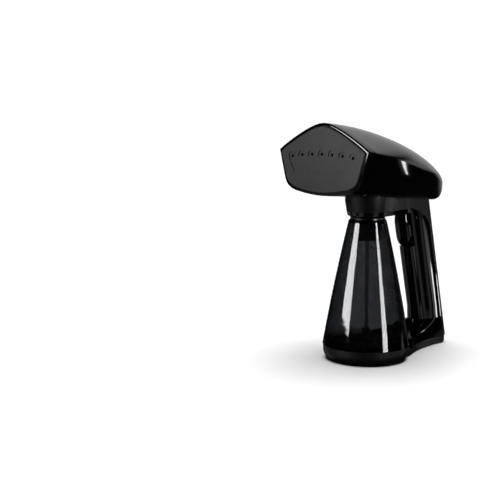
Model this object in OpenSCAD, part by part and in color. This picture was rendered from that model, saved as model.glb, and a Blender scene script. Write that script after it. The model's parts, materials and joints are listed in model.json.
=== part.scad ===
// Handheld garment steamer: a tapering head on a neck, a conical water tank in front
// and a slanted handle behind it. It stands on the tank's base and its tail.
// X is left to right, the soleplate faces -Y, Z is up. The origin is on the ground
// under the tank's axis. Millimetres.

/* [Head] */
// Width of the head across its side ridges
head_w = 116; // [97:1:140]
// Length of the head from its front edge to its rear end
head_len = 189; // [170:1:228]
// Height of the head at the front, from its underside to its apex
head_h = 70; // [66:1:84]
// Wall of the head's two shells
head_wall = 2.2; // [1.8:0.1:2.6]
// Depth of the bezel ring around the soleplate
bezel_depth = 10; // [8:0.5:12]

/* [Soleplate] */
// Margin from the head's outline to the soleplate's edge
plate_margin = 3.6; // [3:0.1:4.3]
// Thickness of the soleplate
plate_t = 4.2; // [3.5:0.1:5]
// Number of steam holes
hole_count = 7; // [5:2:9]
// Spacing of the steam holes
hole_pitch = 13; // [11:0.5:13]
// Radius of a steam hole
hole_r = 1.6; // [1.2:0.1:2]

/* [Tank] */
// Height of the tank's mouth above the ground
tank_h = 143; // [119:1:172]
// Radius of the tank's base ring
tank_r = 43.6; // [40:0.2:48]
// Radius of the tank at its mouth
mouth_r = 19.2; // [18.6:0.1:19.6]
// Wall of the tank
tank_wall = 2.2; // [1.8:0.1:2.6]
// Height of the tank's base ring
ring_h = 15; // [13:0.5:18]
// Height of the base's tail under the handle
tail_h = 8; // [7:0.5:9]
// Radius of the outlet nipple on the tank's cap
nipple_r = 4.5; // [3.7:0.1:5.4]
// Gap between the tank unit and what it pulls away from
tank_gap = 0.4; // [0.3:0.1:0.6]

/* [Handle] */
// Depth of the handle from front to rear
handle_d = 41; // [38:0.5:49]
// Width of the handle's body
handle_w = 31; // [29:0.5:37]
// Width of the satin frame behind the handle
frame_w = 26; // [24:0.5:27]
// Rearward reach of the foot from the tank's axis
foot_y = 123.5; // [120:0.5:130]
// Lean of the handle from upright, degrees
lean = 12.9; // [11:0.1:14]
// Wall of the handle's shells
wall = 2.4; // [2:0.1:2.8]

/* [Controls] */
// Width of the trigger
trigger_w = 18; // [15:0.5:21.5]
// Full swing of the trigger, degrees
trigger_swing = 6; // [4:0.5:6]
// Radius of the trigger's pin
pin_r = 1.5; // [1.2:0.1:1.8]
// Radius of the power button
button_r = 6.5; // [5.4:0.1:7.8]
// Press of the power button
button_press = 1.5; // [1:0.1:1.8]

/* [Pump] */
// Radius of the pump's piston
piston_r = 3; // [2.5:0.1:3.6]
// Stroke of the pump's piston
piston_stroke = 3; // [2:0.5:3.5]

/* [Hidden] */
$fn = 48;
fit = 0.05;          // running clearance of a shaft in its bore
slip = 0.15;         // clearance between pieces that are assembled and stay put
seam = 0.25;         // visible gap along a parting line

// Levels up the neck, all from the tank's mouth
socket_z = tank_h + 2;         // underside of the neck's socket
bridge_z = socket_z + 1.5;     // underside of the bridge behind the socket
band_z = tank_h + 8;           // underside of the satin band
head_z = tank_h + 27;          // underside of the head at its front

// Head outline
front_y = -68.5;               // the head's front edge at the middle of the plate
plate_z = head_z + 0.5 * head_h;
front_k = 0.03;                // lean of the front face, per millimetre of height
front_tilt = atan(front_k);
ridge_h = 0.62 * head_h;       // the side ridges' height above the underside, at the front
ridge_fall = 41.5;             // drop of the ridges from front to rear
top_fall = 11.4;               // straight part of the top line's drop
top_bow = 50.9;                // curved part of the top line's drop
under_fall = 14.9;             // drop of the underside
nose_u = 0.905;                // where the rear end starts to round off
apex_soft = 0.22;              // how broadly the apex is rounded, as a share of the half width
cover_u = bezel_depth / head_len;
arc_n = 15;                    // half the points of the head's upper arc
ring_n = 22;                   // rings along the head

// Handle and foot
slope = tan(lean);
strip_d = 5.5;                 // the frame's depth low on the handle
strip_grow = 2.7;              // what it gains up to the arch
arch_z = band_z - 29;          // where the frame starts to arch forward
arch_d = 23.6;                 // the arch's reach at the band
rib_r = 8.6;                   // half width of the handle's front rib
rib_v = 8;                     // its depth
corner_r = 5;                  // the frame's rear corners
foot_z = tail_h + tank_gap;    // underside of the foot
foot_top = foot_z + 21.6;      // where the foot meets the handle
flare_z = foot_top + 2;        // where the foot's flare starts
ring_clear = tank_r + 1.4;     // what the foot keeps clear of around the tank's ring
foot_front = tank_r - 3;       // front of the foot before the ring's clearance is cut
spread_y = tank_r - 9;         // where the foot and tail start to narrow
foot_spread = 29;              // half width of the foot at its front
tail_r = frame_w / 2 + 0.2;    // half width of the tail at its rear
neck_r = 21.4;                 // the band's front radius at its underside

// Trigger
trigger_top = band_z - 6;
trigger_bottom = band_z - 40;
trigger_out = 3;               // how far it stands out of the handle
pivot_z = band_z - 10;
pivot_v = 15;                  // the pin's distance behind the handle's front
barrel_r = pin_r + 2.6;
barrel_w = 2 * (rib_r - wall) + 2.6; // width of the trigger's barrel, inside the handle
cut_v = 9.3;                   // depth of the handle's opening for the trigger
bulb_v = 5.4;                  // depth of the trigger's full-width front
skirt_w = 11.4;                // width of the trigger's skirt inside the handle

// Power button, on the frame's rear face
button_z = band_z - 16;
lens_z = band_z - 3;
frame_wall = 3;

// Cord gland
gland_z = foot_z + 14;
gland_r = 6.2;
cord_r = 3.4;

// Boiler, behind the soleplate, in the front face's own frame
block_w = 76;
block_h = 30;
block_t = 18;
block_up = -4;                 // the block's centre against the plate's
element_r = 3.2;
element_span = 22;
cover_t = 1.6;
gasket_t = 0.8;
plate_out = 1.3;               // how far the soleplate stands out of the bezel
block_top = plate_out - plate_t;
gasket_back = block_top - block_t;
cover_back = gasket_back - gasket_t - cover_t;

// Pump, upright in the head behind the boiler
pump_y = 38;
pump_r = 7.5;
pump_z0 = head_z + 4;
piston_l = 14;
pump_h = piston_l + piston_stroke + 11;
coil_r = 14;
coil_h = 20;
tube_r = 2.4;
tube_z = pump_z0 + pump_h + 7;
tube_x = block_w / 2 - 26;     // where the delivery tube enters the boiler's cover

// Tank unit
cone_r = tank_r + 0.6;         // the cone's radius above its base ring
cup_r = tank_r - 1.8;          // the base's cup that holds the tank
tank_bulge = 1;                // how far the tank's side bows outward at mid height
cap_r = mouth_r - tank_wall - 3;
intake_low = 31;
pad_r = tank_r - 10.6;
pad_y = foot_y - 20;
guide_r = 2.6;                 // posts on the tail that enter the foot's plate
guide_places = [[10.5, 64], [0, 92]];

// Screws that hold the head's shells, and those that hold the frame to the handle
screw_r = 1.5;
screw_places = [[30, -38], [28, -14]];
frame_screw_z = [foot_z + 42, band_z - 44];

// ---- Helpers ----

function lerp(a, b, t) = a + (b - a) * t;
function clamp01(t) = min(1, max(0, t));
function smooth(t) = let (c = clamp01(t)) c * c * (3 - 2 * c);
function bezier(a, c, b, t) = lerp(lerp(a, c, t), lerp(c, b, t), t);

// A solid through rings of equal length, counterclockwise as seen from the last ring's end
module loft(rings) {
    n = len(rings[0]);
    m = len(rings);
    sides = [for (j = [0:m - 2], i = [0:n - 1])
        let (a = j * n + i, b = j * n + (i + 1) % n)
        each [[a, a + n, b + n], [a, b + n, b]]];
    first = [for (i = [0:n - 1]) i];
    last = [for (i = [n - 1:-1:0]) (m - 1) * n + i];
    polyhedron([for (r = rings) each r], concat([first], sides, [last]), convexity = 6);
}

// ---- Head outline: u runs from 0 at the front edge to 1 at the rear end, w insets it ----

function ridge_x(u) = head_w / 2 * pow(1 - pow(clamp01(u), 1.5), 1 / 1.5);
function ridge_z(u) = head_z + ridge_h - ridge_fall * pow(clamp01(u), 1.2);
function nose(u) = u < nose_u ? 1 : sqrt(max(0, 1 - pow((u - nose_u) / (1 - nose_u), 2)));
function top_z(u) = let (r = ridge_z(u), v = max(u, 0))
    r + (head_z + head_h - top_fall * v - top_bow * v * v - r) * nose(u);
function bottom_z(u) = let (r = ridge_z(u)) r - (r - head_z + under_fall * max(u, 0)) * nose(u);
function head_y(u, z) = front_y + u * head_len + front_k * (z - plate_z) * (1 - clamp01(u));

function apex(t) = (sqrt(t * t + apex_soft * apex_soft) - apex_soft)
    / (sqrt(1 + apex_soft * apex_soft) - apex_soft);
function upper_arc(u, w) =
    let (e = smooth(u), p = lerp(1.06, 2, e), q = lerp(1.12, 2, e))
    let (rx = max(0.4, ridge_x(u) - 1.18 * w), rz = ridge_z(u) - 0.5 * w)
    let (rise = max(0.4, top_z(u) - 1.1 * w - rz))
    [for (i = [-arc_n:arc_n]) let (t = sin(90 * i / arc_n))
        [rx * t, rz + rise * pow(max(0, 1 - pow(apex(t), p)), 1 / q)]];

function lower_half(u, w) =
    let (e = smooth(1.1 * u), rx = max(0.4, ridge_x(u) - 1.18 * w), rz = ridge_z(u) - 0.5 * w)
    let (bz = min(rz - 0.4, bottom_z(u) + w))
    let (cx = min(rx, ridge_x(u) * lerp(0.8, 1, e) - 0.77 * w))
    let (corner = [max(0.3, cx), bz + lerp(0.064 * head_h, 0, e) * nose(u)], ridge = [rx, rz])
    let (a = lerp(corner, ridge, lerp(0.3, 0.97, e)))
    let (b = lerp(corner, [0, bz], lerp(0.35, 0.9, e)))
    concat(
        [for (i = [0:2]) lerp(ridge, a, i / 3) + [0.03 * i * (3 - i), 0]],
        [for (i = [0:8]) bezier(a, corner, b, i / 8)],
        [for (i = [1:3]) let (x = b.x * (1 - i / 4)) [x, bz + (b.y - bz) * pow(x / b.x, 2)]]);

function lower_arc(u, w) = let (h = lower_half(u, w), bz = min(ridge_z(u) - 0.5 * w - 0.4, bottom_z(u) + w))
    concat(h, [[0, bz]], [for (i = [len(h) - 1:-1:0]) [-h[i].x, h[i].y]]);

function whole_outline(u, w) = let (low = lower_arc(u, w), n = len(low))
    concat(upper_arc(u, w), [for (i = [1:n - 2]) low[i]]);

function placed(pts, u) = [for (p = pts) [p.x, head_y(u, p.y), p.y]];
function ring_u(i, n, first, last) = lerp(first, last, 1 - pow(1 - i / n, 1.6));

function upper_rings(w, first, last, n) =
    [for (i = [0:n]) let (u = ring_u(i, n, first, last)) placed(upper_arc(u, w), u)];

// The lower half, with its flat top raised by lift so that a cavity cuts right through
function capped(u, w, lift) = let (a = lower_arc(u, w), rx = a[0].x, rz = a[0].y + lift)
    lift > 0 ? concat(a, [[-rx, rz], [rx, rz]]) : a;
function lower_rings(w, first, last, n, lift) =
    [for (i = [0:n]) let (u = ring_u(i, n, first, last)) placed(capped(u, w, lift), u)];

// Moves children from a flat drawing to the front face: local Z points out of the plate
module in_front() {
    translate([0, front_y, plate_z])
        rotate([90 - front_tilt, 0, 0])
            children();
}

// The front outline inset by w, from depth z0 to z1 along the front face's normal
module front_prism(w, z0, z1) {
    in_front()
        translate([0, 0, z0])
            linear_extrude(z1 - z0)
                polygon([for (p = whole_outline(0, w)) [p.x, p.y - plate_z]]);
}

// ---- Handle outline: horizontal sections from front to rear ----

function rear_y(z) = foot_y - slope * z;
function strip(z) = strip_d + strip_grow * smooth((z - 40) / 80)
    + arch_d * pow(clamp01((z - arch_z) / (band_z - arch_z)), 3);
function frame_y(z) = rear_y(z) - strip(z);
function handle_y(z) = foot_y - slope * z - handle_d;
function body_half(v) = let (d = handle_d - 8)
    lerp(rib_r, handle_w / 2, smooth((v - rib_v) / 12)) - 2 * pow(clamp01((v - 20) / (d - 20)), 2);
function foot_half(y) = tail_r + (foot_spread - tail_r) * pow(clamp01(1 - (y - spread_y) / 66), 1.9);
function flare(z) = pow(clamp01((flare_z - z) / 17), 1.4);

// Half an outline of the handle or foot at height z, inset by w and open at the rear if w > 0
function handle_half(z, w) =
    let (back = frame_y(z) + (w > 0 ? 3 : -fit), depth = back - handle_y(z), f = flare(z))
    let (spread = foot_spread - w)
    concat(
        [for (i = [0:8]) let (a = 90 * i / 8)
            lerp([(rib_r - w) * sin(a), handle_y(z) + w + (rib_v - w) * (1 - cos(a))],
                 [spread * i / 8, foot_front - 2 + i * i / 32], f)],
        [for (i = [1:12]) let (s = i / 12, v = lerp(rib_v, max(rib_v + 1, depth), s))
            let (y = lerp(foot_front, back, s))
            lerp([body_half(v) - w, handle_y(z) + v], [foot_half(y) - w, y], f)]);

function handle_ring(z, w) = let (h = handle_half(z, w), n = len(h))
    concat([for (p = h) [p.x, p.y, z]], [for (i = [n - 1:-1:1]) [-h[i].x, h[i].y, z]]);

// Levels of the sections, shared by the frame, the foot and the handle so that they meet
foot_levels = [for (i = [0:9]) lerp(foot_z, foot_top, i / 9)];
handle_levels = concat(
    [for (i = [0:7]) lerp(foot_top, arch_z, i / 7)],
    [for (i = [1:9]) lerp(arch_z, band_z, i / 9)]);

function between(levels, first, last) =
    concat([first], [for (z = levels) if (z > first + 0.01 && z < last - 0.01) z], [last]);

// The handle or foot through a list of levels
module handle_solid(w, levels) {
    loft([for (z = levels) handle_ring(z, w)]);
}

function frame_ring(z) =
    let (h = frame_w / 2, y1 = rear_y(z), y0 = frame_y(z), r = min(corner_r, strip(z) - 0.3))
    concat(
        [[h, y0, z]],
        [for (a = [0:15:90]) [h - r + r * cos(a), y1 - r + r * sin(a), z]],
        [for (a = [90:-15:0]) [-h + r - r * cos(a), y1 - r + r * sin(a), z]],
        [[-h, y0, z]]);

// The satin band's plan at height z: round in front, running back to the frame's width
function band_front(z) = neck_r + 1.7 * clamp01((z - band_z) / 11);
function band_half(y, z) = lerp(band_front(z), frame_w / 2, smooth(y / 60));
function band_ring(z, w) =
    let (y1 = rear_y(z) - w, r = corner_r - 0.5 * w, h = frame_w / 2 - w, f = band_front(z) - w)
    concat(
        [for (a = [0:12:84]) [f * sin(a), -f * cos(a), z]],
        [for (i = [0:7]) let (y = lerp(0, y1 - r - 4, i / 7)) [band_half(y, z) - w, y, z]],
        [for (a = [0:18:90]) [h - r + r * cos(a), y1 - r + r * sin(a), z]],
        [for (a = [90:-18:0]) [-h + r - r * cos(a), y1 - r + r * sin(a), z]],
        [for (i = [7:-1:0]) let (y = lerp(0, y1 - r - 4, i / 7)) [w - band_half(y, z), y, z]],
        [for (a = [84:-12:12]) [-f * sin(a), -f * cos(a), z]]);

module band_solid(w, z0, z1, n) {
    loft([for (i = [0:n]) band_ring(lerp(z0, z1, i / n), w)]);
}

// Keeps what is under the plane that runs raise above the head's underside
module under_head(raise) {
    under_tilt = atan(under_fall / head_len);
    difference() {
        children();
        translate([0, front_y, head_z + raise])
            rotate([-under_tilt, 0, 0])
                translate([-100, -50, 0])
                    cube([200, 400, 100]);
    }
}

// Places children on the frame's rear face at height z, local Z pointing out of it
module on_spine(z) {
    translate([0, foot_y - slope * z, z])
        rotate([-(90 - lean), 0, 0])
            children();
}

module along_x(length, r) {
    rotate([0, 90, 0])
        cylinder(h = length, r = r, center = true);
}

module along_y(y0, y1, r) {
    translate([0, y0, 0])
        rotate([-90, 0, 0])
            cylinder(h = y1 - y0, r = r);
}

// ---- Head ----

function screw_u(y) = (y - front_y) / head_len;
function seat_z(y) = head_z - under_fall * screw_u(y) + 10;

module head_top_cover() {
    color("#0b0b0c")
    difference() {
        union() {
            difference() {
                loft(concat(
                    [placed(upper_arc(cover_u, 0.6), cover_u)],
                    upper_rings(0, cover_u + 0.004, 0.9985, ring_n)));
                loft(upper_rings(head_wall, -0.03, 0.965, 12));
            }
            intersection() {
                loft(upper_rings(head_wall / 2, cover_u + 0.01, 0.96, ring_n));
                for (p = screw_places, side = [-1, 1])
                    translate([side * p.x, p.y, ridge_z(screw_u(p.y)) + seam])
                        cylinder(h = head_h, r = 3.4);
            }
        }
        for (p = screw_places, side = [-1, 1])
            translate([side * p.x, p.y, ridge_z(screw_u(p.y)) - 1])
                cylinder(h = 10, r = screw_r - 0.2);
    }
}

module head_lower_shell() {
    color("#070708")
    difference() {
        union() {
            difference() {
                loft(concat(
                    [placed(lower_arc(cover_u, 0), cover_u)],
                    lower_rings(0, cover_u + 0.004, 0.9985, ring_n, 0)));
                loft(lower_rings(head_wall, -0.03, 0.965, 12, 3));
            }
            intersection() {
                loft(lower_rings(head_wall / 2, cover_u + 0.01, 0.96, ring_n, 0));
                for (p = screw_places, side = [-1, 1])
                    translate([side * p.x, p.y, head_z - 30])
                        cylinder(h = 30 + ridge_z(screw_u(p.y)) - head_z - 0.2, r = 4.6);
            }
        }
        band_solid(-slip, band_z, band_z + 33, 3);
        for (p = screw_places, side = [-1, 1])
            translate([side * p.x, p.y, head_z - 40]) {
                cylinder(h = 40 + seat_z(p.y) - head_z, r = 3.1);
                cylinder(h = 100, r = screw_r + 0.15);
            }
    }
}

module shell_screws() {
    color("#8b8d90")
    for (p = screw_places, side = [-1, 1])
        translate([side * p.x, p.y, seat_z(p.y)]) {
            translate([0, 0, -2])
                cylinder(h = 2, r = 2.8);
            cylinder(h = ridge_z(screw_u(p.y)) + 8 - seat_z(p.y), r = screw_r);
        }
}

module front_bezel() {
    color("#0d0d0e")
    difference() {
        loft([
            placed(whole_outline(0, 1), 0),
            placed(whole_outline(0.0022, 0.35), 0.0022),
            placed(whole_outline(0.007, 0), 0.007),
            placed(whole_outline(cover_u - 0.0013, 0), cover_u - 0.0013)]);
        front_prism(head_wall, -2 * bezel_depth, 5);
    }
}

// ---- Soleplate and boiler ----

function hole_x(i) = hole_pitch * (i - (hole_count - 1) / 2);
function hole_up(i) = 5 - 0.0018 * hole_x(i) * hole_x(i);

module at_holes() {
    for (i = [0:hole_count - 1])
        translate([hole_x(i), hole_up(i), 0])
            children();
}

module soleplate() {
    recess = 0.8;
    reach = hole_x(hole_count - 1) + 4;
    color("#35363a")
    difference() {
        union() {
            front_prism(plate_margin, plate_out - plate_t, plate_out - 0.4);
            front_prism(plate_margin + 0.5, plate_out - 0.5, plate_out);
        }
        in_front() {
            at_holes()
                translate([0, 0, -plate_t])
                    cylinder(h = 2 * plate_t + 2, r = hole_r);
            translate([0, 0, plate_out - recess])
                linear_extrude(recess + 1)
                    union() {
                        polygon([
                            [-reach, 0], [-reach + 6.5, -12.5], [reach - 6.5, -12.5],
                            [reach, 0], [reach - 4, 2.5], [4 - reach, 2.5]]);
                        at_holes()
                            circle(r = 4.4);
                    }
        }
    }
}

module soleplate_gasket() {
    color("#1c1c1e")
    difference() {
        front_prism(head_wall + slip, -6, -2.4);
        front_prism(plate_margin - slip, -7, -1);
    }
}

module block_outline() {
    translate([0, block_up])
        square([block_w, block_h], center = true);
}

module at_block_screws() {
    for (x = [-1, 1], y = [-1, 1])
        translate([x * (block_w / 2 - 5), block_up + y * (block_h / 2 - 5), 0])
            children();
}

// The U of the heating element: two straight legs joined at one end, grown by g
module element_u(g) {
    for (s = [-1, 1])
        translate([-element_span, s * 8, 0])
            rotate([0, 90, 0])
                cylinder(h = 2 * element_span, r = element_r + g);
    translate([element_span, 0, 0])
        rotate([0, 0, -90])
            rotate_extrude(angle = 180)
                translate([8, 0])
                    circle(r = element_r + g);
}

module boiler_block() {
    color("#9b9da0")
    in_front()
        difference() {
            translate([0, 0, block_top - block_t])
                linear_extrude(block_t)
                    block_outline();
            translate([0, block_up, block_top - 12])
                element_u(fit);
            // steam chamber in front, open towards the plate's holes
            translate([-block_w / 2 + 12, block_up + 2, block_top - 4])
                cube([block_w - 24, 12, 5]);
            at_block_screws()
                translate([0, 0, block_top - block_t - 1])
                    cylinder(h = 12, r = 1.3);
            for (s = [-1, 1])
                translate([-element_span, block_up + s * 8, block_top - block_t - 1])
                    cylinder(h = block_t - 11, r = 2.6);
        }
}

module heating_element() {
    color("#6d6f72")
    in_front()
        union() {
            translate([0, block_up, block_top - 12])
                element_u(0);
            for (s = [-1, 1])
                translate([-element_span, block_up + s * 8, block_top - block_t - 9])
                    cylinder(h = block_t - 4, r = 2.2);
        }
}

module boiler_plate(t, back, colour) {
    color(colour)
    in_front()
        difference() {
            translate([0, 0, back - t])
                linear_extrude(t)
                    block_outline();
            at_block_screws()
                translate([0, 0, back - t - 1])
                    cylinder(h = t + 2, r = 1.7);
            for (s = [-1, 1])
                translate([-element_span, block_up + s * 8, back - t - 1])
                    cylinder(h = t + 2, r = 2.6);
            translate([tube_x, tube_z - plate_z - front_k * back, back - t - 1])
                cylinder(h = t + 2, r = tube_r + slip);
        }
}

module boiler_gasket() {
    boiler_plate(gasket_t, gasket_back, "#7a2a20");
}

module boiler_cover() {
    boiler_plate(cover_t, gasket_back - gasket_t, "#a9abad");
}

module boiler_screws() {
    color("#8b8d90")
    in_front()
        at_block_screws()
            translate([0, 0, cover_back]) {
                translate([0, 0, -2])
                    cylinder(h = 2, r = 2.7);
                cylinder(h = 9, r = 1.5);
            }
}

module thermostat() {
    color("#c9cbcc")
    in_front()
        translate([-2, block_up, cover_back - 8])
            union() {
                translate([0, 0, 4])
                    cylinder(h = 4, r = 8);
                cylinder(h = 4, r = 6);
                for (s = [-1, 1])
                    translate([s * 4 - 0.4, -2.5, -7])
                        cube([0.8, 5, 8]);
            }
}

module thermal_fuse() {
    color("#d8d2c2")
    in_front()
        translate([-4, block_up + 12, cover_back - 2.1])
            union() {
                along_x(12, 2);
                along_x(26, 0.5);
            }
}

module heat_shield() {
    back = cover_back - 20;
    color("#b9a777")
    in_front()
        difference() {
            translate([-30, block_up - 14, back])
                cube([60, 27, 0.8]);
            translate([tube_x, tube_z - plate_z - front_k * back, back - 1])
                cylinder(h = 3, r = tube_r + 0.5);
        }
}

// ---- Pump and tubes ----

module pump_body() {
    color("#e4e0d4")
    translate([0, pump_y, pump_z0])
        difference() {
            union() {
                cylinder(h = pump_h, r = pump_r);
                translate([0, 0, -2])
                    cylinder(h = 3, r = 5);
                translate([0, 0, pump_h])
                    cylinder(h = 4, r = 4);
            }
            translate([0, 0, 4])
                cylinder(h = pump_h - 7, r = piston_r + fit);
            translate([0, 0, -3])
                cylinder(h = pump_h + 9, r = 1.2);
        }
}

module pump_coil() {
    color("#9a4a22")
    translate([0, pump_y, pump_z0 + 6])
        difference() {
            cylinder(h = coil_h, r = coil_r);
            translate([0, 0, -1])
                cylinder(h = coil_h + 2, r = pump_r + slip);
        }
}

module pump_piston() {
    color("#b5b7ba")
    translate([0, pump_y, pump_z0 + 4.1])
        difference() {
            cylinder(h = piston_l, r = piston_r);
            translate([0, 0, -1])
                cylinder(h = piston_l + 2, r = 0.9);
        }
}

module pump_spring() {
    coils = 5;
    wire_r = 0.35;
    low = pump_z0 + 4.1 + piston_l + fit;
    high = pump_z0 + pump_h - 3 - fit;
    pitch = (high - low - 2 * wire_r) / (coils - 1);
    color("#c0c2c4")
    translate([0, pump_y, low + wire_r])
        union() {
            for (i = [0:coils - 1])
                translate([0, 0, i * pitch])
                    rotate_extrude()
                        translate([piston_r - 0.6, 0])
                            circle(r = wire_r, $fn = 16);
            for (i = [0:coils - 2])
                rotate([0, 0, 180 * i])
                    translate([piston_r - 0.6, 0, i * pitch])
                        cylinder(h = pitch, r = 0.25, $fn = 16);
        }
}

module inlet_tube() {
    bend_z = band_z + 16;
    start_z = band_z + 10;
    color("#d9dcdc")
    difference() {
        union() {
            translate([0, 0, start_z])
                cylinder(h = bend_z - start_z, r = tube_r);
            translate([0, 0, bend_z])
                sphere(r = tube_r);
            translate([0, 0, bend_z])
                along_y(0, pump_y, tube_r);
            translate([0, pump_y, bend_z])
                sphere(r = tube_r);
            translate([0, pump_y, bend_z])
                cylinder(h = pump_z0 - 2 - bend_z, r = tube_r);
        }
        translate([0, 0, start_z - 1])
            cylinder(h = bend_z - start_z + 1, r = 1.2);
        translate([0, 0, bend_z])
            along_y(-0.8, pump_y + 0.8, 1.2);
    }
}

// From the pump's outlet, forward and across, to the boiler's cover
module delivery_tube() {
    bend_y = 20;
    color("#d9dcdc")
    translate([0, 0, tube_z])
        union() {
            translate([0, pump_y, -3])
                cylinder(h = 3, r = tube_r);
            for (p = [[0, pump_y], [0, bend_y], [tube_x, bend_y]])
                translate([p.x, p.y, 0])
                    sphere(r = tube_r);
            along_y(bend_y, pump_y, tube_r);
            translate([tube_x / 2, bend_y, 0])
                along_x(tube_x, tube_r);
            translate([tube_x, 0, 0])
                along_y(front_y - gasket_back + 0.5, bend_y, tube_r);
        }
}

module control_board() {
    board_z = head_z + 12;
    color("#1f5a36")
    translate([-11, 58, board_z])
        union() {
            cube([22, 34, 1.6]);
            translate([2, 3, 1.6])
                cube([9, 11, 8]);
            translate([12.5, 4, 1.6])
                cube([7, 7, 5]);
            translate([6, 25, 1.6])
                cylinder(h = 6, r = 3);
            for (i = [0:3])
                translate([14, 14 + 3 * i, 1.6])
                    cube([5, 1.6, 1.2]);
        }
}

// ---- Neck, frame, handle and foot ----

module tank_socket() {
    bore = nipple_r + fit;
    bridge = [for (i = [0:10]) let (y = lerp(0, handle_y(band_z) - 0.3, i / 10))
        [band_half(y, band_z) - 0.2, y]];
    color("#0a0a0b")
    difference() {
        union() {
            rotate_extrude()
                polygon([
                    [0, socket_z], [17.4, socket_z], [20.4, socket_z + 2],
                    [neck_r, band_z], [0, band_z]]);
            translate([0, 0, band_z - 0.5])
                cylinder(h = 9.5, r = 15);
            translate([0, 0, band_z + 9])
                cylinder(h = 5, r = 1.15);
            translate([0, 0, bridge_z])
                linear_extrude(band_z - bridge_z)
                    polygon(concat(bridge, [for (i = [10:-1:0]) [-bridge[i].x, bridge[i].y]]));
        }
        translate([0, 0, socket_z - 1])
            cylinder(h = 12.4, r = bore);
        translate([0, 0, socket_z])
            cylinder(h = 30, r = 0.7);
    }
}

module spine_frame() {
    color("#2c2d30")
    difference() {
        union() {
            loft([for (z = between(concat(foot_levels, handle_levels), foot_z, band_z)) frame_ring(z)]);
            under_head(6)
                band_solid(0, band_z, band_z + 22, 2);
        }
        // channel behind the handle, and the way up through the band
        translate([0, foot_y - slope * foot_z - frame_wall, foot_z])
            rotate([lean, 0, 0])
                translate([-frame_w / 2 + frame_wall, -60, -10])
                    cube([frame_w - 2 * frame_wall, 60, band_z - foot_z + 14]);
        band_solid(frame_wall, band_z - 0.01, band_z + 33, 3);
        on_spine(button_z)
            translate([0, 0, -10])
                cylinder(h = 20, r = button_r + fit);
        on_spine(lens_z)
            translate([0, 0, -10])
                cylinder(h = 20, r = 2 + slip);
        translate([0, 0, gland_z])
            along_y(foot_y - 40, foot_y + 10, gland_r + slip);
        for (z = frame_screw_z)
            on_spine(z) {
                translate([0, 0, -1.6])
                    cylinder(h = 6, r = 3);
                translate([0, 0, -12])
                    cylinder(h = 14, r = screw_r + slip);
            }
    }
}

module frame_screws() {
    color("#55575a")
    for (z = frame_screw_z)
        on_spine(z)
            translate([0, 0, -2])
                difference() {
                    union() {
                        translate([0, 0, 0.4])
                            cylinder(h = 1.2, r = 2.8);
                        translate([0, 0, -12])
                            cylinder(h = 12.6, r = screw_r);
                    }
                    translate([0, 0, 0.8])
                        cylinder(h = 2, r = 1.3, $fn = 6);
                }
}

module handle_shell() {
    color("#060607")
    difference() {
        union() {
            difference() {
                handle_solid(0, between(handle_levels, foot_top + seam, band_z));
                handle_solid(wall, concat([foot_top - 2], handle_levels, [band_z + 2]));
            }
            // bosses for the trigger's pin
            intersection() {
                handle_solid(wall / 2, between(handle_levels, foot_top + 1, band_z - 0.3));
                translate([0, handle_y(pivot_z) + pivot_v, pivot_z])
                    difference() {
                        along_x(60, barrel_r);
                        along_x(barrel_w + 1, barrel_r + 1);
                    }
            }
            // posts that take the frame's screws
            intersection() {
                handle_solid(wall / 2, between(handle_levels, foot_top + 1, band_z - 0.3));
                for (z = frame_screw_z)
                    on_spine(z)
                        translate([0, 0, -handle_d])
                            cylinder(h = handle_d - 9.5, r = 3.4);
            }
        }
        // opening for the trigger
        translate([-20, -200, trigger_bottom - 1.2])
            difference() {
                cube([40, 400, trigger_top - trigger_bottom + 2]);
                translate([-1, 200 + handle_y(trigger_bottom) + cut_v, 0])
                    rotate([lean, 0, 0])
                        translate([0, 0, -10])
                            cube([42, 200, 80]);
            }
        // slot in the rib for the trigger's skirt
        translate([-skirt_w / 2 - 0.4, handle_y(trigger_bottom) + 2, trigger_bottom - 1.2])
            cube([skirt_w + 0.8, 14, 8]);
        translate([0, handle_y(pivot_z) + pivot_v, pivot_z])
            along_x(barrel_w + 10, pin_r);
        for (z = frame_screw_z)
            on_spine(z)
                translate([0, 0, -18])
                    cylinder(h = 20, r = screw_r - 0.2);
    }
}

module foot_shell() {
    color("#060607")
    difference() {
        handle_solid(0, foot_levels);
        difference() {
            handle_solid(wall, concat([foot_z - 1], foot_levels, [foot_top + 2]));
            cylinder(h = 100, r = ring_clear + wall);
        }
        translate([0, 0, -1])
            cylinder(h = 100, r = ring_clear);
        translate([0, 0, gland_z])
            along_y(foot_y - 40, foot_y + 10, gland_r + slip);
    }
}

module foot_plate() {
    half = [for (i = [0:12]) let (y = lerp(foot_front, frame_y(foot_z) - 0.3, i / 12))
        [foot_half(y) - wall - slip - 0.1, y]];
    color("#141415")
    difference() {
        translate([0, 0, foot_z])
            linear_extrude(2)
                polygon(concat(half, [for (i = [12:-1:0]) [-half[i].x, half[i].y]]));
        cylinder(h = 40, r = ring_clear + wall + slip + 0.1);
        at_guides()
            translate([0, 0, foot_z - 1])
                cylinder(h = 4, r = guide_r + 0.3);
    }
}

module at_guides() {
    for (s = [-1, 1])
        translate([s * guide_places[0].x, guide_places[0].y, 0])
            children();
    translate([guide_places[1].x, guide_places[1].y, 0])
        children();
}

// ---- Trigger ----

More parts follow.
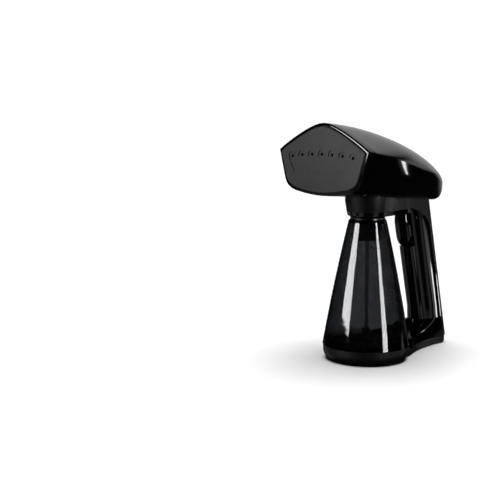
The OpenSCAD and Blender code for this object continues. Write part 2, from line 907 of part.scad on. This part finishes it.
function trigger_ring(z) =
    let (t = (z - trigger_bottom) / (trigger_top - trigger_bottom))
    let (round_off = sqrt(max(0.02, 1 - pow(1 - clamp01(t / 0.3), 2))))
    let (half = trigger_w / 2 * lerp(0.55, 1, round_off) * lerp(1, 0.86, smooth((t - 0.6) / 0.4)))
    let (back = handle_y(z) + bulb_v, taper = 2 * smooth((t - 0.75) / 0.25))
    let (reach = (bulb_v + trigger_out) * lerp(0.6, 1, round_off) - taper)
    concat(
        [for (a = [0:15:90]) [half * sin(a), back - reach * cos(a), z]],
        [for (a = [90:-15:15]) [-half * sin(a), back - reach * cos(a), z]]);

module trigger() {
    color("#060607")
    difference() {
        union() {
            loft([for (i = [0:14]) trigger_ring(lerp(trigger_bottom, trigger_top - 1, i / 14))]);
            translate([0, handle_y(pivot_z) + pivot_v, pivot_z])
                along_x(barrel_w, barrel_r - 0.4);
            translate([0, handle_y(trigger_bottom + 3), trigger_bottom + 3])
                rotate([lean, 0, 0])
                    translate([-skirt_w / 2, 3, 0])
                        cube([skirt_w, 9.5, pivot_z - trigger_bottom - 1]);
            translate([-2, handle_y(trigger_bottom + 9) + 8, trigger_bottom + 7])
                cube([4, 5, 5]);
        }
        translate([0, handle_y(pivot_z) + pivot_v, pivot_z])
            along_x(60, pin_r + fit);
        translate([0, handle_y(pivot_z) + pivot_v, pivot_z])
            along_x(6, barrel_r + 1);
        translate([-1.4, handle_y(pivot_z) + 4, pivot_z - 16])
            cube([2.8, pivot_v, 19]);
    }
}

module trigger_pin() {
    color("#9a9c9f")
    translate([0, handle_y(pivot_z) + pivot_v, pivot_z])
        along_x(barrel_w + 9, pin_r);
}

module trigger_spring() {
    wire = 0.5;
    coil = pin_r + 0.3 + wire;
    color("#c0c2c4")
    translate([0, handle_y(pivot_z) + pivot_v, pivot_z])
        union() {
            rotate([0, 90, 0])
                rotate_extrude()
                    for (i = [-1:1])
                        translate([coil, i * 0.85])
                            circle(r = wire);
            translate([0.6, coil - 0.1, -12])
                cylinder(h = 12, r = wire - 0.1);
            translate([-0.6, 0.1 - coil, -12])
                cylinder(h = 12, r = wire - 0.1);
        }
}

module trigger_switch() {
    press = (pivot_z - trigger_bottom - 9) * sin(trigger_swing);
    switch_y = handle_y(trigger_bottom + 9) + 14 + press;
    color("#2b3442")
    translate([0, switch_y, trigger_bottom + 9.5])
        union() {
            translate([-3, 1.2, -8])
                cube([6, 9, 16]);
            along_y(0, 2, 1.2);
            for (s = [-1, 0, 1])
                translate([-1.2, 10, s * 5.5 - 0.3])
                    cube([2.4, 3, 0.6]);
        }
}

// ---- Power button and lamp ----

module power_button() {
    color("#17181a")
    on_spine(button_z)
        union() {
            translate([0, 0, -frame_wall - 1.4])
                cylinder(h = frame_wall + 2.2, r = button_r);
            translate([0, 0, 0.7])
                cylinder(h = 0.5, r = button_r - 0.5);
            translate([0, 0, -frame_wall - 1.5])
                cylinder(h = 1.2, r = button_r + 1.2);
        }
}

module power_switch() {
    color("#2b3442")
    on_spine(button_z)
        translate([0, 0, -frame_wall - 1.5 - button_press - 0.1])
            union() {
                translate([0, 0, -1.2])
                    cylinder(h = 1.2, r = 1.75);
                translate([-6, -6, -5])
                    cube([12, 12, 3.9]);
                for (x = [-1, 1], y = [-1, 1])
                    translate([x * 4.5 - 0.4, y * 4.5 - 0.4, -8])
                        cube([0.8, 0.8, 3.2]);
            }
}

module indicator_lens() {
    color("#b9c4cc")
    on_spine(lens_z)
        translate([0, 0, -frame_wall - 1])
            union() {
                cylinder(h = frame_wall + 1, r = 2);
                cylinder(h = 0.9, r = 2.8);
            }
}

// ---- Cord inlet ----

module cord_gland() {
    face = foot_y - slope * gland_z;
    color("#101011")
    translate([0, 0, gland_z])
        difference() {
            union() {
                along_y(face - 9, face + 2.4, gland_r);
                along_y(face + 2, face + 4, gland_r - 1.2);
            }
            along_y(face - 12, face + 8, cord_r);
        }
}

module cord_clamp() {
    face = foot_y - slope * gland_z;
    color("#3a3b3e")
    translate([0, face - 15, foot_z + 2.1])
        difference() {
            translate([-8.5, -4, 0])
                cube([17, 8, gland_z - foot_z + 2]);
            translate([0, 0, gland_z - foot_z - 2.1])
                along_y(-6, 6, cord_r + 0.1);
            translate([-3.6, -6, gland_z - foot_z - 2.1])
                cube([7.2, 12, 12]);
        }
}

module terminal_block() {
    color("#d9d4c4")
    translate([-8, 72, foot_z + 5.6])
        difference() {
            cube([16, 16, 9]);
            for (x = [3, 8, 13]) {
                translate([x, -1, 4.5])
                    rotate([-90, 0, 0])
                        cylinder(h = 18, r = 1.4);
                translate([x, 8, 4.5])
                    cylinder(h = 6, r = 1.2);
            }
        }
}

// ---- Tank unit: everything here pulls down and away together ----

// Points up the tank's side from its base ring to its shoulder, inset by w
function tank_side(w) = [for (i = [0:16]) let (t = i / 16)
    [lerp(cone_r, mouth_r + 0.6, t) + 4 * tank_bulge * t * (1 - t) - w,
     lerp(ring_h + 0.1, tank_h - 4, t)]];
module tank_body() {
    color("#3a3c40")
    difference() {
        rotate_extrude()
            polygon([
                [0, 4.4], [cup_r - 6, 4.4], [cup_r - 0.2, 10], [cup_r - 0.2, ring_h],
                each tank_side(0), [mouth_r, tank_h - 1.5], [mouth_r - 1.2, tank_h],
                [0, tank_h]]);
        rotate_extrude()
            polygon([
                [0, 7], [cup_r - 8.5, 7], [cup_r - 3, 11.5], [cup_r - 2.4, ring_h],
                each [for (i = [1:16]) tank_side(tank_wall)[i]],
                [cap_r + 0.1, tank_h - 3], [cap_r + 0.1, tank_h + 1], [0, tank_h + 1]]);
    }
}

module tail_outline(inset) {
    rear = foot_y - slope * tail_h - 1.6 - inset;
    r = corner_r;
    h = tail_r - 0.2 - inset;
    side = [for (i = [0:14]) let (y = lerp(foot_front - 14, rear - r, i / 14))
        [foot_half(y) - inset - 0.2 * i / 14, y]];
    polygon(concat(
        side,
        [for (a = [0:15:90]) [h - r + r * cos(a), rear - r + r * sin(a)]],
        [for (a = [90:-15:0]) [r - h - r * cos(a), rear - r + r * sin(a)]],
        [for (i = [14:-1:0]) [-side[i].x, side[i].y]]));
}

module tank_base() {
    color("#1e1f21")
    difference() {
        union() {
            rotate_extrude()
                polygon(concat(
                    [[0, 1]],
                    [for (a = [0:10:90]) [tank_r - 6.5 + 6.5 * sin(a), 1 + 9 * (1 - cos(a))]],
                    [[tank_r, ring_h - 0.3], [tank_r - 0.3, ring_h], [0, ring_h]]));
            translate([0, 0, 1])
                linear_extrude(1)
                    tail_outline(1);
            translate([0, 0, 2])
                linear_extrude(tail_h - 2)
                    tail_outline(0);
            at_guides()
                translate([0, 0, tail_h - 1])
                    cylinder(h = 7, r = guide_r);
        }
        // cup for the tank
        rotate_extrude()
            polygon([
                [0, 4.3], [cup_r - 5.9, 4.3], [cup_r, 9.9], [cup_r, ring_h + 1],
                [0, ring_h + 1]]);
        // the tail is a tray under the handle's foot
        difference() {
            translate([0, 0, 3.2])
                linear_extrude(tail_h)
                    tail_outline(2.2);
            cylinder(h = 60, r = ring_clear + 2);
            at_guides()
                cylinder(h = 40, r = guide_r + 1.6);
        }
        at_guides()
            difference() {
                translate([0, 0, tail_h])
                    cylinder(h = 20, r = guide_r + 2);
                translate([0, 0, tail_h - 1])
                    cylinder(h = 30, r = guide_r);
            }
        translate([0, 0, -1])
            cylinder(h = 2.6, r = pad_r + 0.1);
        translate([0, pad_y, -1])
            cylinder(h = 2.6, r = 6.1);
    }
}

module base_pad() {
    color("#111112")
    cylinder(h = 1.6, r = pad_r);
}

module tail_pad() {
    color("#111112")
    translate([0, pad_y, 0])
        cylinder(h = 1.6, r = 6);
}

module tank_cap() {
    nipple_h = 9.5;
    color("#131314")
    difference() {
        union() {
            translate([0, 0, tank_h - 21])
                cylinder(h = 21.2, r = cap_r);
            translate([0, 0, tank_h + fit])
                cylinder(h = 1.5, r = 16);
            translate([0, 0, tank_h])
                cylinder(h = 2 + nipple_h, r = nipple_r);
        }
        translate([0, 0, tank_h - 30])
            cylinder(h = 24, r = cap_r - 2.4);
        translate([0, 0, tank_h - 10])
            cylinder(h = 40, r = 1.3);
        // groove for the seal
        translate([0, 0, tank_h + 7])
            difference() {
                cylinder(h = 2, r = nipple_r + 1);
                translate([0, 0, -1])
                    cylinder(h = 4, r = nipple_r - 1.4);
            }
        translate([0, 0, tank_h - 7])
            cylinder(h = 2, r = tube_r - 0.4 + fit);
    }
}

module tank_collar() {
    color("#6f7175")
    translate([0, 0, tank_h + fit])
        difference() {
            cylinder(h = 1.5, r = 17.5);
            translate([0, 0, -1])
                cylinder(h = 4, r = 16 + fit);
        }
}

module cap_seal() {
    color("#7a2a20")
    translate([0, 0, tank_h + 8])
        rotate_extrude()
            translate([nipple_r - 0.7, 0])
                circle(r = 0.65);
}

module intake_tube() {
    color("#c8cccd")
    difference() {
        translate([0, 0, intake_low - 4])
            cylinder(h = tank_h - 6 - intake_low + 4.5, r = tube_r - 0.4);
        translate([0, 0, 0])
            cylinder(h = tank_h + 20, r = 1.2);
    }
}

module intake_filter() {
    color("#4a4c50")
    translate([0, 0, intake_low - 9])
        difference() {
            union() {
                cylinder(h = 8, r = 4.75);
                translate([0, 0, 8])
                    cylinder(h = 1.5, r = 3.6);
            }
            translate([0, 0, 4.9])
                cylinder(h = 10, r = tube_r - 0.4 + fit);
            translate([0, 0, -1])
                cylinder(h = 5, r = 3.4);
        }
}

head_top_cover();
head_lower_shell();
front_bezel();
soleplate();
soleplate_gasket();
boiler_block();
heating_element();
boiler_gasket();
boiler_cover();
boiler_screws();
thermostat();
thermal_fuse();
heat_shield();
pump_body();
pump_coil();
pump_piston();
pump_spring();
inlet_tube();
delivery_tube();
control_board();
shell_screws();
tank_socket();
spine_frame();
handle_shell();
foot_shell();
foot_plate();
frame_screws();
trigger();
trigger_pin();
trigger_spring();
trigger_switch();
power_button();
power_switch();
indicator_lens();
cord_gland();
cord_clamp();
terminal_block();
tank_body();
tank_base();
tank_cap();
tank_collar();
cap_seal();
intake_tube();
intake_filter();
base_pad();
tail_pad();
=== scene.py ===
"""Looks of the garment steamer: materials, smooth shading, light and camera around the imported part."""
import json
import math

import bpy
import numpy as np
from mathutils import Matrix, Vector

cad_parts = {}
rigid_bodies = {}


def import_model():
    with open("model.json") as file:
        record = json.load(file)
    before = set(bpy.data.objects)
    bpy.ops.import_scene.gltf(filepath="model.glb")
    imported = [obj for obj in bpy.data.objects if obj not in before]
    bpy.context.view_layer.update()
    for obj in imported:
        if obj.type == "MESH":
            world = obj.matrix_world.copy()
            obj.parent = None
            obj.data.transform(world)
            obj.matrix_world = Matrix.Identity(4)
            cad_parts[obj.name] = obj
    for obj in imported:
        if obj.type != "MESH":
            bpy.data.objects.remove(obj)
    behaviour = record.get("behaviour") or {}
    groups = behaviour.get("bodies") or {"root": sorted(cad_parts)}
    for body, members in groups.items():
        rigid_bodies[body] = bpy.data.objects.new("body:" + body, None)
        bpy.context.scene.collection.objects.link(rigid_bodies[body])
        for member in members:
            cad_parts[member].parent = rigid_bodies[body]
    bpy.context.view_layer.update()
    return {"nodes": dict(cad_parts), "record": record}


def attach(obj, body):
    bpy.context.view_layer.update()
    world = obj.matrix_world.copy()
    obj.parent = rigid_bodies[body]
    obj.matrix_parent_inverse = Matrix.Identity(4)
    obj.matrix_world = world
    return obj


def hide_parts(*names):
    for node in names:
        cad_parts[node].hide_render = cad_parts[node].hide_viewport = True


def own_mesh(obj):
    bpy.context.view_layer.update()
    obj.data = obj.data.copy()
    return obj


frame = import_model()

NODES = frame["nodes"]
RECORD = frame["record"]
MM = 0.001
SMOOTH_ANGLE = 32  # faces that meet at less than this many degrees share a normal
WELD = 0.01 * MM  # vertices closer than this count as one point

BACKGROUND = 1.05  # the world's strength, straight on and through the tank
STUDIO_DARK = 0.004  # the world's strength in reflections and on matt surfaces
FLOOR_SIDE = 8.0  # half the floor's width, in metres
FLOOR_DROP = 0.05 * MM  # keeps the floor clear of the base pads
PANEL_DISTANCE = 2.0  # from the tank's axis to each standing panel, in metres

CAMERA_PLACE = (0.6698, -0.7982, 0.252)
CAMERA_AIM = (-0.7268, 0.6753, -0.1253)
CAMERA_LENS = 77.25
CAMERA_SENSOR = 36


# ---- Smooth shading: normals averaged over the faces that meet at less than an angle ----

def face_data(mesh):
    """Vertex places, each triangle's corners, its unit normal and its area."""
    mesh.calc_loop_triangles()
    places = np.zeros(len(mesh.vertices) * 3, np.float32)
    mesh.vertices.foreach_get("co", places)
    places = places.reshape(-1, 3).astype(float)
    corners = np.zeros(len(mesh.loops), np.int32)
    mesh.loops.foreach_get("vertex_index", corners)
    corners = corners.reshape(-1, 3)
    a, b, c = (places[corners[:, k]] for k in range(3))
    cross = np.cross(b - a, c - a)
    size = np.linalg.norm(cross, axis=1)
    return places, corners, cross / np.maximum(size, 1e-18)[:, None], size / 2


def corner_angles(places, corners):
    """The angle of every triangle at each of its corners."""
    angles = np.zeros(corners.shape)
    for k in range(3):
        p, q, r = (places[corners[:, (k + n) % 3]] for n in range(3))
        u, v = q - p, r - p
        size = np.linalg.norm(u, axis=1) * np.linalg.norm(v, axis=1)
        cosine = np.einsum("ij,ij->i", u, v) / np.maximum(size, 1e-18)
        angles[:, k] = np.arccos(np.clip(cosine, -1, 1))
    return angles


def smooth_by_angle(obj, degrees):
    """Gives obj custom normals. Its vertices stay as they are, since coincident ones are only compared."""
    mesh = obj.data
    places, corners, normals, areas = face_data(mesh)
    cells = np.round(places / WELD).astype(np.int64)
    _, point = np.unique(cells, axis=0, return_inverse=True)
    point = point.reshape(-1)[corners].reshape(-1)
    face = np.repeat(np.arange(len(corners)), 3)
    weight = (corner_angles(places, corners) * areas[:, None]).reshape(-1)
    order = np.argsort(point, kind="stable")
    starts = np.searchsorted(point[order], np.arange(point.max() + 1))
    counts = np.diff(np.append(starts, len(point)))
    own = np.repeat(np.arange(len(point)), counts[point])
    first = np.repeat(np.cumsum(counts[point]) - counts[point], counts[point])
    other = order[starts[point][own] + np.arange(len(own)) - first]
    cosine = np.einsum("ij,ij->i", normals[face[own]], normals[face[other]])
    share = weight[other] * (cosine > math.cos(math.radians(degrees)))
    pulls = share[:, None] * normals[face[other]]
    total = np.stack([np.bincount(own, pulls[:, k], len(point)) for k in range(3)], axis=1)
    length = np.linalg.norm(total, axis=1)
    flat = length < 1e-16
    total[flat] = normals[face[flat]]
    length[flat] = np.maximum(np.linalg.norm(total[flat], axis=1), 1e-9)
    mesh.shade_smooth()
    mesh.normals_split_custom_set((total / length[:, None]).tolist())


# ---- Materials ----

class Nodes:
    """A material's node tree, with one call for each kind of node used here."""

    def __init__(self, name):
        self.material = bpy.data.materials.new(name)
        self.material.use_nodes = True
        self.tree = self.material.node_tree
        self.shader = self.tree.nodes["Principled BSDF"]
        self.place = self.tree.nodes.new("ShaderNodeTexCoord").outputs["Object"]

    def link(self, source, target):
        self.tree.links.new(source, target)

    def noise(self, size, detail=3.0, roughness=0.55, stretch=(1, 1, 1)):
        """Noise with features about size metres across, stretched along the object's axes."""
        mapping = self.tree.nodes.new("ShaderNodeMapping")
        mapping.inputs["Scale"].default_value = [1 / (size * s) for s in stretch]
        self.link(self.place, mapping.inputs["Vector"])
        texture = self.tree.nodes.new("ShaderNodeTexNoise")
        texture.inputs["Scale"].default_value = 1.0
        texture.inputs["Detail"].default_value = detail
        texture.inputs["Roughness"].default_value = roughness
        self.link(mapping.outputs["Vector"], texture.inputs["Vector"])
        return texture.outputs["Fac"]

    def spread(self, value, low, high, start=0.3, end=0.7):
        """Maps start..end of a value onto low..high."""
        node = self.tree.nodes.new("ShaderNodeMapRange")
        for name, number in zip(("From Min", "From Max", "To Min", "To Max"), (start, end, low, high)):
            node.inputs[name].default_value = number
        self.link(value, node.inputs["Value"])
        return node.outputs["Result"]

    def blend(self, value, first, second):
        """A colour between two, by a value from 0 to 1."""
        node = self.tree.nodes.new("ShaderNodeMix")
        node.data_type = "RGBA"
        self.link(value, node.inputs["Factor"])
        node.inputs["A"].default_value = (*first, 1)
        node.inputs["B"].default_value = (*second, 1)
        return node.outputs["Result"]

    def bump(self, height, depth, before=None):
        """A bump of depth metres from a height of 0 to 1, on top of another bump."""
        node = self.tree.nodes.new("ShaderNodeBump")
        node.inputs["Strength"].default_value = 1.0
        node.inputs["Distance"].default_value = depth
        self.link(height, node.inputs["Height"])
        if before is not None:
            self.link(before, node.inputs["Normal"])
        return node.outputs["Normal"]

    def paint(self, value, colour, change):
        """The base colour, varied by a share of itself."""
        dark = [c * (1 - change) for c in colour]
        pale = [min(1, c * (1 + change)) for c in colour]
        self.link(self.blend(self.spread(value, 0, 1), dark, pale), self.shader.inputs["Base Color"])

    def rough(self, value, low, high):
        self.link(self.spread(value, low, high), self.shader.inputs["Roughness"])

    def normal(self, value):
        self.link(value, self.shader.inputs["Normal"])

    def fixed(self, **values):
        """Values that are the same all over, set on the shader's own sockets."""
        for name, value in values.items():
            self.shader.inputs[name.replace("_", " ")].default_value = value


def gloss_black(name, colour):
    """Polished moulded ABS: faint flow unevenness, and finger haze in the gloss."""
    look = Nodes(name)
    haze = look.noise(26 * MM, 4.0, 0.6)
    dust = look.noise(0.5 * MM, 2.0, 0.5)
    look.paint(haze, colour, 0.25)
    look.rough(haze, 0.035, 0.085)
    flow = look.bump(look.noise(9 * MM, 1.0), 0.010 * MM)
    look.normal(look.bump(dust, 0.0006 * MM, flow))
    look.fixed(IOR=1.5)
    return look.material


def satin_black(name, colour):
    """Spark-eroded fine texture on black ABS, a little polished by handling."""
    look = Nodes(name)
    handled = look.noise(30 * MM, 3.0)
    look.paint(handled, colour, 0.16)
    look.rough(handled, 0.34, 0.44)
    grain = look.bump(look.noise(0.42 * MM, 2.0, 0.7), 0.020 * MM)
    look.normal(look.bump(look.noise(14 * MM, 1.0), 0.03 * MM, grain))
    look.fixed(IOR=1.5, Specular_IOR_Level=0.22)
    return look.material


def soleplate(name, colour):
    """Ceramic-coated casting: fine sprayed speckle over a slow change of tone."""
    look = Nodes(name)
    look.paint(look.noise(35 * MM, 3.0, 0.5, (1, 1, 2)), colour, 0.14)
    look.rough(look.noise(8 * MM, 4.0), 0.30, 0.42)
    speckle = look.bump(look.noise(0.6 * MM, 3.0, 0.7), 0.012 * MM)
    look.normal(look.bump(look.noise(5 * MM, 1.0), 0.010 * MM, speckle))
    look.fixed(IOR=1.5, Specular_IOR_Level=0.2)
    return look.material


def smoked_tank(name, colour):
    """Clear smoked polycarbonate: its wall soaks up light, so long ways through it look black."""
    look = Nodes(name)
    flow = look.noise(16 * MM, 2.0, 0.5, (1, 1, 4))
    look.paint(flow, colour, 0.03)
    look.rough(look.noise(20 * MM, 4.0), 0.012, 0.035)
    look.normal(look.bump(flow, 0.012 * MM))
    look.fixed(Transmission_Weight=1.0, IOR=1.49)
    smoke = look.tree.nodes.new("ShaderNodeVolumeAbsorption")
    smoke.inputs["Color"].default_value = (0.03, 0.035, 0.05, 1)
    smoke.inputs["Density"].default_value = 850.0
    look.link(smoke.outputs["Volume"], look.tree.nodes["Material Output"].inputs["Volume"])
    return look.material


def moulded(name, colour, gloss, grain, depth, change=0.12):
    """A plain moulded part: tone, gloss and a grain of its own size."""
    look = Nodes(name)
    tone = look.noise(12 * MM, 3.0)
    look.paint(tone, colour, change)
    look.rough(tone, gloss, gloss + 0.1)
    look.normal(look.bump(look.noise(grain, 2.0, 0.6), depth))
    return look.material


def metal(name, colour, gloss, stretch=(1, 1, 1), grain=0.5 * MM, depth=0.004 * MM):
    """Metal with drawn or cast marks, and stains that change its gloss."""
    look = Nodes(name)
    marks = look.noise(grain, 3.0, 0.6, stretch)
    look.paint(look.noise(7 * MM, 4.0), colour, 0.12)
    look.rough(marks, gloss, gloss + 0.16)
    look.normal(look.bump(marks, depth))
    look.fixed(Metallic=1.0)
    return look.material


def winding(name, colour):
    """Lacquered copper wire, wound in rings up the coil."""
    look = Nodes(name)
    wave = look.tree.nodes.new("ShaderNodeTexWave")
    wave.bands_direction = "Z"
    wave.inputs["Scale"].default_value = 350.0
    wave.inputs["Distortion"].default_value = 0.4
    look.link(look.place, wave.inputs["Vector"])
    look.paint(wave.outputs["Fac"], colour, 0.35)
    look.rough(look.noise(6 * MM), 0.22, 0.36)
    look.normal(look.bump(wave.outputs["Fac"], 0.15 * MM))
    look.fixed(Metallic=0.85)
    return look.material


def circuit(name, colour):
    """Solder mask over faint tracks."""
    look = Nodes(name)
    tracks = look.noise(2.5 * MM, 0.0, 0.5, (1, 4, 1))
    look.paint(tracks, colour, 0.35)
    look.rough(tracks, 0.22, 0.40)
    look.normal(look.bump(look.spread(tracks, 0, 1, 0.48, 0.52), 0.03 * MM))
    return look.material


def see_through(name, colour, gloss, weight):
    """Milky silicone or a frosted lens."""
    look = Nodes(name)
    cloud = look.noise(5 * MM, 3.0)
    look.paint(cloud, colour, 0.08)
    look.rough(cloud, gloss, gloss + 0.1)
    look.normal(look.bump(look.noise(0.8 * MM), 0.005 * MM))
    look.fixed(Transmission_Weight=weight, IOR=1.41)
    return look.material


def make_materials():
    """One material for each of the record's slots."""
    return {
        "gloss_black": gloss_black("gloss_black", (0.0010, 0.0010, 0.0011)),
        "satin_black": satin_black("satin_black", (0.0026, 0.0027, 0.0030)),
        "soleplate": soleplate("soleplate", (0.0185, 0.019, 0.0205)),
        "smoked_tank": smoked_tank("smoked_tank", (0.90, 0.90, 0.91)),
        "dark_plastic": moulded("dark_plastic", (0.012, 0.012, 0.013), 0.35, 0.5 * MM, 0.01 * MM),
        "rubber": moulded("rubber", (0.014, 0.014, 0.015), 0.72, 0.7 * MM, 0.03 * MM, 0.2),
        "seal_red": moulded("seal_red", (0.19, 0.035, 0.025), 0.45, 0.6 * MM, 0.01 * MM),
        "cast_aluminium": metal("cast_aluminium", (0.50, 0.50, 0.51), 0.42, grain=1.2 * MM, depth=0.04 * MM),
        "steel": metal("steel", (0.55, 0.55, 0.56), 0.24, (6, 1, 1)),
        "brass": winding("brass", (0.52, 0.26, 0.10)),
        "white_plastic": moulded("white_plastic", (0.70, 0.68, 0.62), 0.42, 0.6 * MM, 0.01 * MM, 0.05),
        "mica": moulded("mica", (0.42, 0.33, 0.18), 0.35, 2.5 * MM, 0.04 * MM, 0.3),
        "silicone_tube": see_through("silicone_tube", (0.72, 0.74, 0.74), 0.28, 0.55),
        "board": circuit("board", (0.015, 0.10, 0.035)),
        "switch_body": moulded("switch_body", (0.03, 0.042, 0.065), 0.4, 0.5 * MM, 0.01 * MM),
        "lens": see_through("lens", (0.60, 0.64, 0.68), 0.12, 0.7),
        "collar": metal("collar", (0.08, 0.08, 0.085), 0.14, (1, 1, 0.2), 0.8 * MM, 0.002 * MM),
    }


def dress_nodes(materials):
    """Gives each CAD node its slot's material and smooth shading."""
    for part in RECORD["subparts"]:
        obj = NODES[part["node"]]
        obj.data.materials.clear()
        obj.data.materials.append(materials[part["material_slot"]])
        smooth_by_angle(obj, SMOOTH_ANGLE)


def make_pump_spring():
    """The pump's return spring, as its own copy of the node's mesh, fixed to the body that the pump joint
    hangs from.
    """
    joint = next(j for j in RECORD["behaviour"]["joints"] if j["name"] == "pump_stroke")
    spring = bpy.data.objects.new("pump_return_spring", NODES["pump_spring"].data.copy())
    bpy.context.scene.collection.objects.link(spring)
    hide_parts("pump_spring")
    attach(spring, joint["parent"])
    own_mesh(spring)


# ---- Stage ----

def make_world():
    """White behind the object and through its tank, and a dark studio in its reflections."""
    world = bpy.data.worlds.new("studio")
    bpy.context.scene.world = world
    world.use_nodes = True
    tree = world.node_tree
    tree.nodes.clear()
    path = tree.nodes.new("ShaderNodeLightPath")
    seen = tree.nodes.new("ShaderNodeMath")
    seen.operation = "MAXIMUM"
    tree.links.new(path.outputs["Is Camera Ray"], seen.inputs[0])
    tree.links.new(path.outputs["Is Transmission Ray"], seen.inputs[1])
    strength = tree.nodes.new("ShaderNodeMapRange")
    strength.inputs["To Min"].default_value = STUDIO_DARK
    strength.inputs["To Max"].default_value = BACKGROUND
    tree.links.new(seen.outputs[0], strength.inputs["Value"])
    sky = tree.nodes.new("ShaderNodeBackground")
    tree.links.new(strength.outputs["Result"], sky.inputs["Strength"])
    sky.inputs["Color"].default_value = (1, 1, 1, 1)
    output = tree.nodes.new("ShaderNodeOutputWorld")
    tree.links.new(sky.outputs[0], output.inputs["Surface"])


def make_floor():
    """A pale floor, level with the part's origin. Polished surfaces don't mirror it."""
    mesh = bpy.data.meshes.new("floor")
    signs = ((-1, -1), (1, -1), (1, 1), (-1, 1))
    corners = [(x * FLOOR_SIDE, y * FLOOR_SIDE, -FLOOR_DROP) for x, y in signs]
    mesh.from_pydata(corners, [], [(0, 1, 2, 3)])
    floor = bpy.data.objects.new("floor", mesh)
    bpy.context.scene.collection.objects.link(floor)
    material = bpy.data.materials.new("floor")
    material.use_nodes = True
    shader = material.node_tree.nodes["Principled BSDF"]
    shader.inputs["Base Color"].default_value = (0.93, 0.93, 0.93, 1)
    shader.inputs["Roughness"].default_value = 1.0
    shader.inputs["Specular IOR Level"].default_value = 0.0
    mesh.materials.append(material)
    floor.visible_glossy = False


def fade_edges(light, edge):
    """Makes a light fade towards its edges. A low edge keeps it even nearly to its rim."""
    light.use_nodes = True
    tree = light.node_tree
    emission = tree.nodes["Emission"]
    split = tree.nodes.new("ShaderNodeSeparateXYZ")
    tree.links.new(tree.nodes.new("ShaderNodeNewGeometry").outputs["Parametric"], split.inputs[0])
    fades = []
    for axis in "XY":
        left = tree.nodes.new("ShaderNodeMath")
        left.operation = "SUBTRACT"
        left.inputs[0].default_value = 1.0
        tree.links.new(split.outputs[axis], left.inputs[1])
        hump = tree.nodes.new("ShaderNodeMath")
        hump.operation = "MULTIPLY"
        tree.links.new(split.outputs[axis], hump.inputs[0])
        tree.links.new(left.outputs[0], hump.inputs[1])
        fade = tree.nodes.new("ShaderNodeMapRange")
        fade.interpolation_type = "SMOOTHSTEP"
        fade.inputs["From Max"].default_value = edge * (1 - edge)
        tree.links.new(hump.outputs[0], fade.inputs["Value"])
        fades.append(fade.outputs["Result"])
    both = tree.nodes.new("ShaderNodeMath")
    both.operation = "MULTIPLY"
    for k, fade in enumerate(fades):
        tree.links.new(fade, both.inputs[k])
    tree.links.new(both.outputs[0], emission.inputs["Strength"])


def panel(name, place, aim, width, tall, radiance, edge):
    """A rectangular light that only polished surfaces show, as a studio's softbox does."""
    light = bpy.data.lights.new(name, "AREA")
    light.shape = "RECTANGLE"
    light.size = width
    light.size_y = tall
    light.energy = math.pi * width * tall * radiance
    fade_edges(light, edge)
    obj = bpy.data.objects.new(name, light)
    bpy.context.scene.collection.objects.link(obj)
    obj.location = place
    obj.rotation_mode = "QUATERNION"
    obj.rotation_quaternion = (Vector(aim) - obj.location).to_track_quat("-Z", "Y")
    obj.visible_camera = False
    obj.visible_diffuse = False
    obj.visible_transmission = False


def standing_panel(name, azimuth, spread, low, high, radiance, edge=0.06):
    """An upright panel round the tank's axis: azimuth 0 is before the soleplate, 90 is at +X."""
    angle = math.radians(azimuth)
    x, y = PANEL_DISTANCE * math.sin(angle), -PANEL_DISTANCE * math.cos(angle)
    middle = (low + high) / 2
    width = 2 * PANEL_DISTANCE * math.tan(math.radians(spread) / 2)
    panel(name, (x, y, middle), (0, 0, middle), width, high - low, radiance, edge)


def ceiling(strength, spread):
    """An even light from above for matt surfaces, which leaves no spot in polished ones."""
    light = bpy.data.lights.new("ceiling", "SUN")
    light.energy = strength
    light.angle = math.radians(spread)
    obj = bpy.data.objects.new("ceiling", light)
    bpy.context.scene.collection.objects.link(obj)
    obj.visible_camera = False
    obj.visible_glossy = False


def make_lights():
    """The first two panels draw the tank's bright bars, and the wide dim ones fill the black."""
    ceiling(strength=3.8, spread=50)
    standing_panel("left_panel", -23, 31, 0.2, 0.8, 16.0)
    standing_panel("right_panel", 93, 14, -0.06, 0.9, 16.0)
    standing_panel("handle_panel", 137, 50, -0.42, -0.03, 0.8, edge=0.25)
    standing_panel("handle_strip", 157, 6, -0.32, -0.14, 9.0)
    standing_panel("back_panel", 214, 60, -0.6, 2.3, 0.6, edge=0.5)
    panel("top_panel", (-0.3, -0.35, 1.6), (0, 0, 0.2), width=1.0, tall=1.0, radiance=4.0, edge=0.3)
    standing_panel("rear_panel", 180, 40, 0.2, 0.9, 0.4, edge=0.5)
    for azimuth in (0, 90, 270, 315):
        standing_panel(f"low_panel_{azimuth}", azimuth, 40, -1.7, -0.15, 0.4, edge=0.5)


def make_camera():
    """The viewpoint: right of the soleplate, a little above the object's middle."""
    data = bpy.data.cameras.new("camera")
    data.sensor_width = CAMERA_SENSOR
    data.lens = CAMERA_LENS
    camera = bpy.data.objects.new("camera", data)
    bpy.context.scene.collection.objects.link(camera)
    camera.location = CAMERA_PLACE
    camera.rotation_mode = "QUATERNION"
    camera.rotation_quaternion = Vector(CAMERA_AIM).to_track_quat("-Z", "Y")
    bpy.context.scene.camera = camera


bpy.context.scene.view_settings.view_transform = "Standard"
dress_nodes(make_materials())
make_pump_spring()
make_world()
make_floor()
make_lights()
make_camera()
